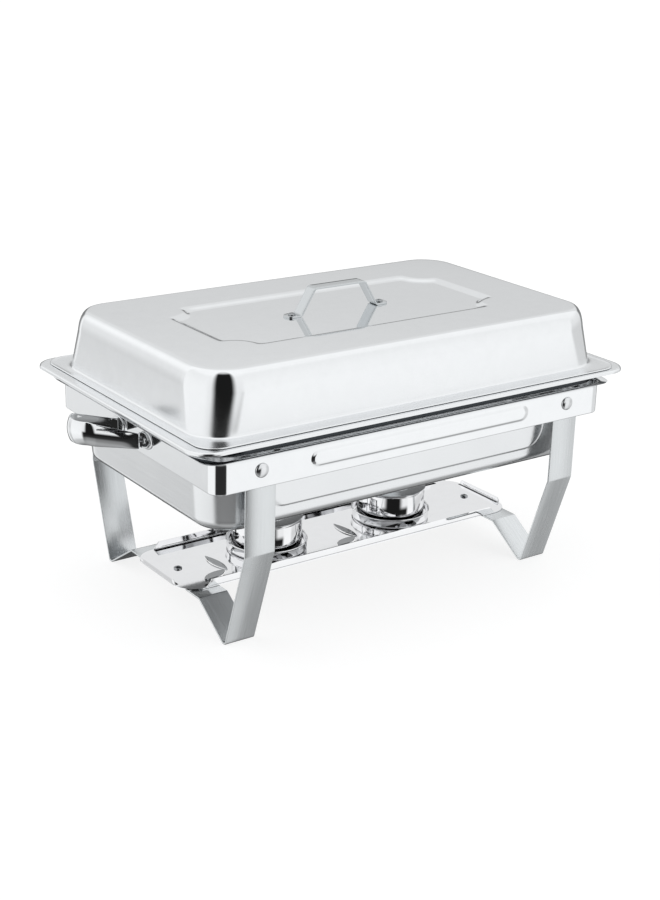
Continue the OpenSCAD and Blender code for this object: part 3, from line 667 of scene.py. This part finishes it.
# ---------------------------------------------------------------- legs, rivets, handles
for side, sx in (("left", -1), ("right", 1)):
    leg = "leg_" + side
    line = LEG_LINE + [(-a, b) for a, b in LEG_LINE[-2::-1]]
    path = dense(filleted(line, LEG_BENDS, 7), 3.0)
    tidy = [path[0]]
    for p in path[1:]:
        if (p - tidy[-1]).length > 0.05:
            tidy.append(p)

    def leg_span(p, sx=sx):
        half_w = STRIP_W / 2
        if p.y > TAPER_Z:
            half_w += (NECK_HALF - STRIP_W / 2) * min(1.0, (p.y - TAPER_Z) / TAPER_H)
            if p.y > PIVOT_Z:
                half_w = math.sqrt(max(1.0, EYE_R ** 2 - (p.y - PIVOT_Z) ** 2))
        lo, hi = -half_w, half_w
        if abs(p.x) < NOTCH_R and p.y < 40:
            # the bridge is open round the tray screw
            r = math.sqrt(NOTCH_R ** 2 - p.x ** 2)
            if sx < 0:
                lo = r
            else:
                hi = -r
        return lo, hi

    v, f = strip(tidy, STRIP_T, leg_span, lambda a, b, s, sx=sx: (sx * LEG_X + s, a, b),
                 edge=0.45, across=2)
    make("leg_bent_strip_" + side, v, f, "leg", leg, ["leg_strip_" + side], sharp=50)

    heads = []
    for sy in (-1, 1):
        turn = Matrix.Rotation(math.radians(90 if sy < 0 else -90), 3, "X")
        dome = [(7.72, -0.02), (7.75, 0.25)]
        dome += [(7.7 * math.cos(math.radians(a)), 0.35 + 2.15 * math.sin(math.radians(a)))
                 for a in range(8, 90, 9)] + [(0, 2.5)]
        shank = [(0, -6.6), (5.2, -6.6), (6.0, -6.1), (6.0, -5.0), (4.0, -5.0), (4.0, -0.02)]
        heads.append(lathe(shank + dome, 64, (sx * LEG_X, sy * RIVET_Y, PIVOT_Z), turn))
    v, f = join(*heads)
    make("pivot_rivet_heads_" + side, v, f, "rivet", "stand",
         ["leg_pivot_rivets_" + side])

    # the wide C of the side handle, curved across its width
    x0, bend = BAIL_X0, BAIL_BEND
    xc, yc = BAIL_X - 0.8 - bend, BAIL_MID_Y
    arc = [(xc + bend * math.sin(math.radians(a)), yc + bend * math.cos(math.radians(a)))
           for a in range(12, 91, 6)]
    hook = [(x0, BAIL_Y + 9), (x0, BAIL_Y - 6), (x0 + 7, BAIL_Y - 1)]
    half = [tuple(q) for q in filleted(hook + [arc[0]], [2.2, 5.0], 5)] + arc[1:]
    bail = [Vector(p) for p in half + [(a, -b) for a, b in half[::-1]]]
    bail = dense(bail, 1.2)

    def reach(x, x0=x0):
        """0 at the band and 1 out at the grip."""
        return min(max((x - x0 - 6) / (BAIL_X - 16 - x0), 0.0), 1.0)

    def bail_span(p):
        k = reach(p.x)
        h = BAIL_FOOT_H + BAIL_SWELL * k
        if p.x < x0 + 2 and abs(p.y) > BAIL_Y:
            h = max(2.0, math.sqrt(max(0.0, BAIL_FOOT_H ** 2 - (abs(p.y) - BAIL_Y) ** 2)))
        return BAIL_RISE * k - h, BAIL_RISE * k + h

    v, f = strip(bail, BAIL_T, bail_span, lambda a, b, s, sx=sx: (sx * a, b, BAIL_Z + s),
                 edge=0.5, across=10)
    out = []
    for x, y, z in v:
        # pull the strip's edges in, so that its middle stands proud as a stamped grip does
        k = smooth(abs(x), x0 + 6, x0 + 26)
        d = ((z - BAIL_Z - BAIL_RISE * reach(abs(x))) / BAIL_CROWN_H) ** 2
        n = Vector((max(abs(x) - xc, 0.0), y - min(max(y, -yc), yc)))
        n = n.normalized() if n.length > 1e-6 else Vector((1, 0))
        out.append((math.copysign(abs(x) - BAIL_CROWN * k * d * n.x, x),
                    y - BAIL_CROWN * k * d * n.y, z))
    make("side_grip_" + side, out, f, "chrome", "stand",
         ["side_handle_" + side], sharp=60)

    plates, pins = [], []
    for sy in (-1, 1):
        cx = sx * (BAND_HX + 0.05)
        turn = Matrix.Rotation(math.radians(90 * sx), 3, "Y")
        rim = []
        for hy, hz, h in ((13, 9.5, 0.0), (13, 9.5, 0.6), (12.6, 9.1, 1.0), (11.6, 8.1, 1.12),
                          (6, 4.5, 1.12)):
            ring_pts = []
            for i in range(64):
                a = 2 * math.pi * i / 64
                ring_pts.append((cx + sx * h, sy * BAIL_Y + hy * math.cos(a),
                                 BAIL_Z + hz * math.sin(a)))
            rim.append(ring_pts)
        plates.append(loft(rim))
        dome = [(0, -2.75), (3, -2.75), (3, -1.45), (2, -1.4), (2, 1.8), (3.4, 1.8), (3.4, 2.3)]
        dome += [(3.4 * math.cos(math.radians(a)), 2.3 + 0.95 * math.sin(math.radians(a)))
                 for a in range(15, 90, 15)] + [(0, 3.25)]
        pins.append(lathe(dome, 32, (sx * (BAND_HX + 1.0), sy * BAIL_Y, BAIL_Z), turn))
    v, f = join(*plates)
    make("grip_plates_" + side, v, f, "rivet", "stand", ["handle_plates_" + side])
    v, f = join(*pins)
    make("grip_rivets_" + side, v, f, "rivet", "stand", ["handle_rivets_" + side])


# ---------------------------------------------------------------- fuel tray
def outline_mesh(outer, holes, z0, z1):
    """A flat sheet with holes between two heights, from 2-D loops."""
    bm = bmesh.new()
    loops = [outer] + holes
    edges = []
    for loop in loops:
        vs = [bm.verts.new((x, y, z1)) for x, y in loop]
        edges += [bm.edges.new((vs[i], vs[(i + 1) % len(vs)])) for i in range(len(vs))]
    bmesh.ops.triangle_fill(bm, edges=edges, use_beauty=True, use_dissolve=False)
    bm.verts.ensure_lookup_table()
    top = [tuple(v.co) for v in bm.verts]
    bm.verts.index_update()
    tris = [tuple(v.index for v in f.verts) for f in bm.faces]
    n = len(top)
    verts = top + [(x, y, z0) for x, y, z in top]
    faces = tris + [tuple(i + n for i in reversed(t)) for t in tris]
    o = 0
    for loop in loops:
        m = len(loop)
        for i in range(m):
            j = (i + 1) % m
            faces.append((o + i, o + j, o + j + n, o + i + n))
        o += m
    bm.free()
    return verts, faces


def petal(cx, cy, length, width, turn, n=18):
    """A pointed leaf outline."""
    r = (length ** 2 + width ** 2) / (4 * width)
    half = math.asin(length / 2 / r)
    pts = []
    for k in range(n + 1):
        a = -half + 2 * half * k / n
        pts.append((r * math.cos(a) - (r - width / 2), r * math.sin(a)))
    for k in range(1, n):
        a = half - 2 * half * k / n
        pts.append((-(r * math.cos(a) - (r - width / 2)), r * math.sin(a)))
    c, s = math.cos(math.radians(turn)), math.sin(math.radians(turn))
    return [(cx + x * c - y * s, cy + x * s + y * c) for x, y in pts]


def circle(cx, cy, r, n=32):
    """Points round a circle."""
    return [(cx + r * math.cos(2 * math.pi * i / n), cy + r * math.sin(2 * math.pi * i / n))
            for i in range(n)]


def build_tray():
    r = TRAY_CORNER
    outer = []
    for cx, cy, a0 in ((1, 1, 0), (-1, 1, 90), (-1, -1, 180), (1, -1, 270)):
        for i in range(13):
            a = math.radians(a0 + 90 * i / 12)
            outer.append((cx * (TRAY_HX - 0.3 - r) + r * math.cos(a),
                          cy * (TRAY_HY - 0.3 - r) + r * math.sin(a)))
    leaves = []                        # x, y, length, width, turn in degrees
    for sx in (-1, 1):
        leaves.append((sx * BURNER_X - 73, -10, 44, 12, 4))
        leaves.append((sx * BURNER_X - 91, -37, 34, 16, 110))
    holes = [petal(*w) for w in leaves] + [circle(sx * LEG_X, 0, TRAY_HOLE_R) for sx in (-1, 1)]
    sheet = outline_mesh(outer, holes, TRAY_Z, TRAY_Z + TRAY_T)
    parts = [sheet]
    for sy in (-1, 1):
        prof = [(TRAY_HY - 7, TRAY_Z + 0.6), (TRAY_HY - 0.6, TRAY_Z + 0.6),
                (TRAY_HY - 0.6, TRAY_Z + TRAY_SIDE_H)]
        side = filleted(prof, 2.2, 6)

        def edge_span(p):
            rise = max(0.0, p.y - TRAY_Z - 1.0)
            return -(TRAY_SIDE_HX - rise * 0.8), TRAY_SIDE_HX - rise * 0.8

        parts.append(strip(side, TRAY_T, edge_span, lambda a, b, s, sy=sy: (s, sy * a, b),
                           edge=0.5, across=40))
    for sx in (-1, 1):
        prof = [(TRAY_HX - 5, TRAY_Z + 0.6), (TRAY_HX - 0.6, TRAY_Z + 0.6),
                (TRAY_HX - 0.6, TRAY_Z + TRAY_LIP_H)]
        side = filleted(prof, 2.0, 6)

        def lip_span(p):
            rise = max(0.0, p.y - TRAY_Z - 3.2)
            cut = 3.2 - math.sqrt(max(0.0, 3.2 ** 2 - rise ** 2)) if rise < 3.2 else 3.2
            half = TRAY_LIP_HY - cut
            return -half, half

        parts.append(strip(side, TRAY_T, lip_span, lambda a, b, s, sx=sx: (sx * a, s, b),
                           edge=0.5, across=10))
    v, f = join(*parts)
    make("tray_sheet", v, f, "tray", "tray", ["fuel_tray"], sharp=35, weld=False)

    # the small leaves lanced out of the sheet, each tipped a little about one side, coloured dark grey
    # as painted shade
    blades = []
    for cx, cy, length, width, turn in leaves:
        pts = petal(0, 0, length - 1.2, width - 1.2, 0)
        tip = math.radians(-9.0)
        c, s = math.cos(math.radians(turn)), math.sin(math.radians(turn))
        top, low = [], []
        for x, y in pts:
            lift = (x - width / 2) * math.sin(tip)
            px, py = cx + x * c - y * s, cy + x * s + y * c
            top.append((px, py, TRAY_Z + TRAY_T + lift + 0.2))
            low.append((px, py, TRAY_Z + lift + 0.2))
        n = len(top)
        verts = top + low
        faces = [tuple(range(n)), tuple(range(2 * n - 1, n - 1, -1))]
        faces += [(i, (i + 1) % n, (i + 1) % n + n, i + n) for i in range(n)]
        blades.append((verts, faces))
    v, f = join(*blades)
    make("tray_leaves", v, f, "leaf", "tray", sharp=30)

    top = TRAY_Z + TRAY_T
    heads = [cross_head(4.6, 2.6, (sx * LEG_X, 0, top), turn=0.6) for sx in (-1, 1)]
    shanks = [lathe([(0, -4.6), (1.7, -4.6), (2.0, -4.3), (2.0, 0.1), (0, 0.1)], 24,
                    (sx * LEG_X, 0, top)) for sx in (-1, 1)]
    v, f = join(*heads, *shanks)
    make("tray_screw_heads", v, f, "screw", "tray", ["tray_screws"])


build_tray()

# ---------------------------------------------------------------- burners
for side, sx in (("left", -1), ("right", 1)):
    body, at = "burner_" + side, (sx * BURNER_X, 0, 0)
    R, z0, h = SAUCER_R, SAUCER_Z, SAUCER_H
    prof = [(0, 0), (R - 4, 0), (R - 2.0, 0.5), (R - 1.0, 1.6), (R - 0.8, 3.0), (R - 0.8, h - 2.4),
            (R - 0.5, h - 1.9), (R, h - 1.2), (R - 0.1, h - 0.5), (R - 0.6, h - 0.05),
            (R - 1.1, h - 0.2), (R - 1.5, h - 0.9), (R - 1.6, h - 2.0), (R - 1.6, 3.4),
            (R - 2.2, 2.0), (R - 4, 1.0), (0, 1.0)]
    v, f = lathe([(r, z + z0) for r, z in prof], 96, at)
    make("burner_dish_" + side, v, f, "burner", body,
         ["burner_saucer_" + side], sharp=50)
    R, z0, h = CAN_R, CAN_Z, CAN_H
    prof = [(0, 0.05), (R - 3, 0.05), (R - 1.2, 0.4), (R - 0.3, 1.3), (R, 2.4), (R, h - 3.2),
            (R - 0.25, h - 2.8), (R - 0.25, h - 2.4), (R, h - 2.0), (R, h - 0.3), (R - 0.4, h),
            (R - 0.8, h - 0.2), (R - 0.8, 3), (R - 2, 1.2), (R - 4, 0.8), (0, 0.8)]
    v, f = lathe([(r, z + z0) for r, z in prof], 96, at)
    make("burner_tin_" + side, v, f, "burner", body,
         ["burner_can_" + side], sharp=50)
    prof = [(18, 0.1), (18.4, 1.0), (20, 1.1), (R - 4, 1.1), (R - 1, 1.0), (R + 0.6, 0.9),
            (R + 0.9, 0.5), (R + 0.6, 0.1), (R - 1.1, 0.0), (R - 1.1, -5), (R - 3, -5), (R - 3, 0),
            (18, 0.1)]
    v, f = lathe([(r, z + CAN_PLATE_Z) for r, z in prof], 96, at)
    make("burner_lid_ring_" + side, v, f, "snuffer", body,
         ["burner_top_plate_" + side], sharp=40)
    cover = "snuffer_" + side
    loop = []
    for k in range(61):
        a = math.radians(107 + 326 * k / 60)
        loop.append((SNUFFER_R * math.cos(a), SNUFFER_R * math.sin(a)))
    for k in range(13):
        a = math.radians(-10 + 200 * k / 12)
        loop.append((LUG_R * math.cos(a), PIN_Y + LUG_R * math.sin(a)))
    v, f = outline_mesh(loop, [circle(0, PIN_Y, TRAY_HOLE_R, 24)], SNUFFER_LOW, SNUFFER_TOP)
    v = [(x + sx * BURNER_X, y, z) for x, y, z in v]
    make("snuffer_plate_" + side, v, f, "snuffer", cover,
         ["snuffer_cover_" + side], sharp=30, bevel=0.15)
    prof = [(0, 74.75), (1.5, 74.75), (1.5, 75.55), (3.4, 75.55), (4, 76.0), (3.7, 76.7), (4, 77.4),
            (3.5, 77.85), (2.6, 77.95), (0, 77.95)]
    v, f = lathe(prof, 32, (sx * BURNER_X, KNOB_Y, 0))
    make("snuffer_grip_" + side, v, f, "knob", cover,
         ["snuffer_knob_" + side], sharp=45)

# ---------------------------------------------------------------- small CAD nodes that stay
KEPT = {"leg_washers_left": "rivet", "leg_washers_right": "rivet", "tray_screw_nuts": "screw",
        "snuffer_pin_left": "screw", "snuffer_pin_right": "screw", "lid_handle_nuts": "screw"}
for node, mat in KEPT.items():
    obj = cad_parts[node]
    obj.data.materials.clear()
    obj.data.materials.append(M[mat])

# ---------------------------------------------------------------- floor, light, camera
FLOOR_HALF, FLOOR_SHADE, FLOOR_GLOW = 30.0, 0.30, 0.80          # half size in metres
floor_mesh = bpy.data.meshes.new("floor_sheet")
floor_mesh.from_pydata([(sx * FLOOR_HALF, sy * FLOOR_HALF, 0)
                        for sx, sy in ((-1, -1), (1, -1), (1, 1), (-1, 1))], [], [(0, 1, 2, 3)])
floor = bpy.data.objects.new("floor_sheet", floor_mesh)
bpy.context.scene.collection.objects.link(floor)
floor.visible_glossy = False
fm = bpy.data.materials.new("pale_floor")
fm.use_nodes = True
fb = fm.node_tree.nodes["Principled BSDF"]
fb.inputs["Base Color"].default_value = (FLOOR_SHADE, FLOOR_SHADE, FLOOR_SHADE, 1)
fb.inputs["Roughness"].default_value = 0.9
fb.inputs["Specular IOR Level"].default_value = 0.0
fb.inputs["Emission Color"].default_value = (1, 1, 1, 1)
fb.inputs["Emission Strength"].default_value = FLOOR_GLOW
floor_mesh.materials.append(fm)


def build_world():
    """A studio seen only in reflections: brightness by azimuth and elevation."""
    world = bpy.data.worlds.new("studio")
    bpy.context.scene.world = world
    world.use_nodes = True
    nt = world.node_tree
    nodes, links = nt.nodes, nt.links
    nodes.clear()
    out = nodes.new("ShaderNodeOutputWorld")
    coord = nodes.new("ShaderNodeTexCoord")
    split = nodes.new("ShaderNodeSeparateXYZ")
    links.new(coord.outputs["Generated"], split.inputs[0])

    def put(w, socket):
        if isinstance(w, (int, float)):
            socket.default_value = w
        else:
            links.new(w, socket)

    def calc(op, a, b=None):
        n = nodes.new("ShaderNodeMath")
        n.operation = op
        put(a, n.inputs[0])
        if b is not None:
            put(b, n.inputs[1])
        return n.outputs[0]

    def step(v, lo, hi):
        n = nodes.new("ShaderNodeMapRange")
        n.interpolation_type = "SMOOTHSTEP"
        put(v, n.inputs["Value"])
        n.inputs["From Min"].default_value = lo
        n.inputs["From Max"].default_value = hi
        return n.outputs["Result"]

    def window(v, a, b, c, d):
        """1 between b and c, fading to 0 at a and d."""
        return calc("MULTIPLY", step(v, a, b), calc("SUBTRACT", 1.0, step(v, c, d)))

    def curve(v, points):
        level = None
        for (x0, y0), (x1, y1) in zip(points, points[1:]):
            part = calc("MULTIPLY", step(v, x0, x1), y1 - y0)
            level = calc("ADD", part, y0) if level is None else calc("ADD", level, part)
        return level

    def blend(k, a, b):
        """a where k is 0, b where k is 1."""
        n = nodes.new("ShaderNodeMix")
        n.data_type = "FLOAT"
        put(k, n.inputs[0])
        put(a, n.inputs[2])
        put(b, n.inputs[3])
        return n.outputs[0]

    up = calc("MULTIPLY", calc("ARCSINE", split.outputs["Z"]), 180 / math.pi)
    az = calc("MULTIPLY", calc("ARCTAN2", split.outputs["Y"], split.outputs["X"]), 180 / math.pi)

    level = curve(up, BASE)
    for mask, heights in ZONES:
        level = blend(window(az, *mask), level, curve(up, heights))
    glow = nodes.new("ShaderNodeBackground")
    links.new(level, glow.inputs["Strength"])
    glow.inputs["Color"].default_value = (0.985, 0.995, 1.0, 1)
    plain = nodes.new("ShaderNodeBackground")
    plain.inputs["Color"].default_value = (1, 1, 1, 1)
    plain.inputs["Strength"].default_value = 1.0
    path = nodes.new("ShaderNodeLightPath")
    mix = nodes.new("ShaderNodeMixShader")
    links.new(path.outputs["Is Camera Ray"], mix.inputs[0])
    links.new(glow.outputs[0], mix.inputs[1])
    links.new(plain.outputs[0], mix.inputs[2])
    links.new(mix.outputs[0], out.inputs["Surface"])


# brightness against elevation in degrees, then azimuth zones that replace it
BASE = [(-90, 0.15), (-64, 0.26), (-42, 0.62), (-31, 1.0), (-15, 1.08), (0, 1.05), (30, 1.0),
        (50, 1.1), (90, 1.12)]
ZONES = [
    # far side behind the dish: dark below the horizon, grey over it
    ((5, 18, 88, 102), [(-90, 0.12), (-45, 0.08), (-28, 0.12), (-18, 0.3), (8, 0.22), (14, 0.72),
                        (19, 0.84), (40, 0.86), (60, 1.0), (90, 1.12)]),
    # left rear: soft grey for the end faces
    ((104, 112, 124, 130), [(-90, 0.2), (-45, 0.42), (-28, 0.66), (-17, 0.88), (-9, 0.76), (4, 0.9),
                            (20, 1.1), (90, 1.12)]),
    # right front: fades beyond the front faces' right ends
    ((-50, -43, 5, 15), [(-90, 0.15), (-64, 0.3), (-45, 0.42), (-30, 0.72), (-18, 0.80), (-8, 0.74),
                         (5, 0.9), (30, 1.05), (90, 1.12)]),
    # a low pale patch that lights the outer faces of the legs
    ((-84, -76, -44, -36), [(-90, 0.15), (-72, 0.3), (-66, 0.8), (-44, 0.82), (-31, 1.0), (-15, 1.08),
                            (0, 1.05), (30, 1.0), (50, 1.1), (90, 1.12)]),
    # the dark side where the camera stands: wide and low, then narrower higher up
    ((-166, -152, -74, -64), [(-90, 0.15), (-50, 0.4), (-36, 0.25), (-24, 0.03), (-12, 0.012),
                              (-3, 0.95), (30, 1.0), (50, 1.1), (90, 1.12)]),
    ((-152, -136, -100, -84), [(-90, 0.2), (-50, 0.45), (-36, 0.3), (-24, 0.03), (-15, 0.012),
                               (50, 0.012), (72, 0.8), (90, 1.12)]),
]
build_world()
bpy.context.scene.view_settings.view_transform = "Standard"

CAM_AZ, CAM_EL, CAM_ROLL = -35.895, 19.185, 1.6525              # degrees
CAM_AT = (-0.99825, -1.37953, 0.75399)                          # metres
CAM_LENS, CAM_SHIFT = 63.25, (-0.00313, -0.0252)
cam_data = bpy.data.cameras.new("camera")
cam = bpy.data.objects.new("camera", cam_data)
bpy.context.scene.collection.objects.link(cam)
bpy.context.scene.camera = cam
cam_data.sensor_width = 36.0
cam_data.lens = CAM_LENS
cam_data.shift_x, cam_data.shift_y = CAM_SHIFT
cam_data.clip_end = 200.0
a, e, r = (math.radians(w) for w in (CAM_AZ, CAM_EL, CAM_ROLL))
back = Vector((math.sin(a) * math.cos(e), -math.cos(a) * math.cos(e), math.sin(e)))
right = Vector((math.cos(a), math.sin(a), 0))
over = back.cross(right)
cam_x = right * math.cos(r) + over * math.sin(r)
cam_y = -right * math.sin(r) + over * math.cos(r)
rot = Matrix((cam_x, cam_y, back)).transposed().to_4x4()
cam.matrix_world = Matrix.Translation(CAM_AT) @ rot
